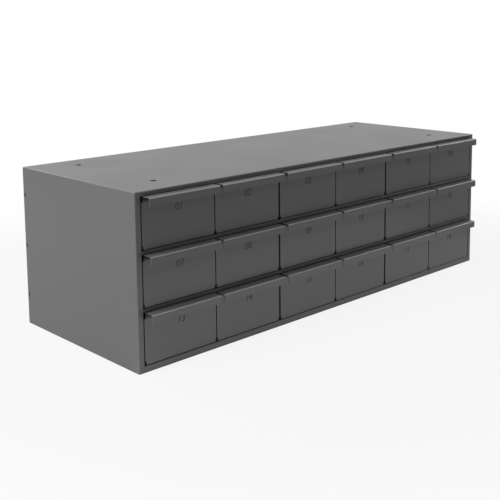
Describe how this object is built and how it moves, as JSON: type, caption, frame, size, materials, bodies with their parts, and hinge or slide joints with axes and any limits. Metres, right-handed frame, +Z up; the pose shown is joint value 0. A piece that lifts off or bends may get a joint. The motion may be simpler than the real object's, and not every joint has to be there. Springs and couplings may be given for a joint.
{
  "type": "modular drawer cabinet",
  "caption": "Low, wide bench-top cabinet of folded grey sheet steel, with rows of open-topped small-parts drawers that slide out by full-width pull lips and stop at the rear.",
  "frame": {"origin": "middle of the footprint, on the surface that the cabinet stands on", "axes": "+X to the right of someone facing the drawers, +Y from the drawers to the back, +Z up"},
  "size_m": [0.8572, 0.335, 0.2699],
  "materials": {
    "casing_paint": "satin grey powder coat",
    "drawer_paint": "satin grey powder coat"
  },
  "bodies": {
    "root": {"casing_wrap": "casing_paint", "bottom_panel": "casing_paint", "back_panel": "casing_paint", "shelf_lower": "casing_paint", "shelf_upper": "casing_paint", "guide_bottom_1": "casing_paint", "guide_bottom_2": "casing_paint", "guide_bottom_3": "casing_paint", "guide_bottom_4": "casing_paint", "guide_bottom_5": "casing_paint", "guide_bottom_6": "casing_paint", "guide_bottom_7": "casing_paint", "guide_middle_1": "casing_paint", "guide_middle_2": "casing_paint", "guide_middle_3": "casing_paint", "guide_middle_4": "casing_paint", "guide_middle_5": "casing_paint", "guide_middle_6": "casing_paint", "guide_middle_7": "casing_paint", "guide_top_1": "casing_paint", "guide_top_2": "casing_paint", "guide_top_3": "casing_paint", "guide_top_4": "casing_paint", "guide_top_5": "casing_paint", "guide_top_6": "casing_paint", "guide_top_7": "casing_paint"},
    "drawer_bottom_1": {"drawer_bottom_1": "drawer_paint"},
    "drawer_bottom_2": {"drawer_bottom_2": "drawer_paint"},
    "drawer_bottom_3": {"drawer_bottom_3": "drawer_paint"},
    "drawer_bottom_4": {"drawer_bottom_4": "drawer_paint"},
    "drawer_bottom_5": {"drawer_bottom_5": "drawer_paint"},
    "drawer_bottom_6": {"drawer_bottom_6": "drawer_paint"},
    "drawer_middle_1": {"drawer_middle_1": "drawer_paint"},
    "drawer_middle_2": {"drawer_middle_2": "drawer_paint"},
    "drawer_middle_3": {"drawer_middle_3": "drawer_paint"},
    "drawer_middle_4": {"drawer_middle_4": "drawer_paint"},
    "drawer_middle_5": {"drawer_middle_5": "drawer_paint"},
    "drawer_middle_6": {"drawer_middle_6": "drawer_paint"},
    "drawer_top_1": {"drawer_top_1": "drawer_paint"},
    "drawer_top_2": {"drawer_top_2": "drawer_paint"},
    "drawer_top_3": {"drawer_top_3": "drawer_paint"},
    "drawer_top_4": {"drawer_top_4": "drawer_paint"},
    "drawer_top_5": {"drawer_top_5": "drawer_paint"},
    "drawer_top_6": {"drawer_top_6": "drawer_paint"}
  },
  "joints": [
    {"name": "drawer_bottom_1_slide", "type": "slide", "parent": "root", "child": "drawer_bottom_1", "axis": [0, -1, 0], "range_m": [0, 0.271]},
    {"name": "drawer_bottom_2_slide", "type": "slide", "parent": "root", "child": "drawer_bottom_2", "axis": [0, -1, 0], "range_m": [0, 0.271]},
    {"name": "drawer_bottom_3_slide", "type": "slide", "parent": "root", "child": "drawer_bottom_3", "axis": [0, -1, 0], "range_m": [0, 0.271]},
    {"name": "drawer_bottom_4_slide", "type": "slide", "parent": "root", "child": "drawer_bottom_4", "axis": [0, -1, 0], "range_m": [0, 0.271]},
    {"name": "drawer_bottom_5_slide", "type": "slide", "parent": "root", "child": "drawer_bottom_5", "axis": [0, -1, 0], "range_m": [0, 0.271]},
    {"name": "drawer_bottom_6_slide", "type": "slide", "parent": "root", "child": "drawer_bottom_6", "axis": [0, -1, 0], "range_m": [0, 0.271]},
    {"name": "drawer_middle_1_slide", "type": "slide", "parent": "root", "child": "drawer_middle_1", "axis": [0, -1, 0], "range_m": [0, 0.271]},
    {"name": "drawer_middle_2_slide", "type": "slide", "parent": "root", "child": "drawer_middle_2", "axis": [0, -1, 0], "range_m": [0, 0.271]},
    {"name": "drawer_middle_3_slide", "type": "slide", "parent": "root", "child": "drawer_middle_3", "axis": [0, -1, 0], "range_m": [0, 0.271]},
    {"name": "drawer_middle_4_slide", "type": "slide", "parent": "root", "child": "drawer_middle_4", "axis": [0, -1, 0], "range_m": [0, 0.271]},
    {"name": "drawer_middle_5_slide", "type": "slide", "parent": "root", "child": "drawer_middle_5", "axis": [0, -1, 0], "range_m": [0, 0.271]},
    {"name": "drawer_middle_6_slide", "type": "slide", "parent": "root", "child": "drawer_middle_6", "axis": [0, -1, 0], "range_m": [0, 0.271]},
    {"name": "drawer_top_1_slide", "type": "slide", "parent": "root", "child": "drawer_top_1", "axis": [0, -1, 0], "range_m": [0, 0.271]},
    {"name": "drawer_top_2_slide", "type": "slide", "parent": "root", "child": "drawer_top_2", "axis": [0, -1, 0], "range_m": [0, 0.271]},
    {"name": "drawer_top_3_slide", "type": "slide", "parent": "root", "child": "drawer_top_3", "axis": [0, -1, 0], "range_m": [0, 0.271]},
    {"name": "drawer_top_4_slide", "type": "slide", "parent": "root", "child": "drawer_top_4", "axis": [0, -1, 0], "range_m": [0, 0.271]},
    {"name": "drawer_top_5_slide", "type": "slide", "parent": "root", "child": "drawer_top_5", "axis": [0, -1, 0], "range_m": [0, 0.271]},
    {"name": "drawer_top_6_slide", "type": "slide", "parent": "root", "child": "drawer_top_6", "axis": [0, -1, 0], "range_m": [0, 0.271]}
  ]
}
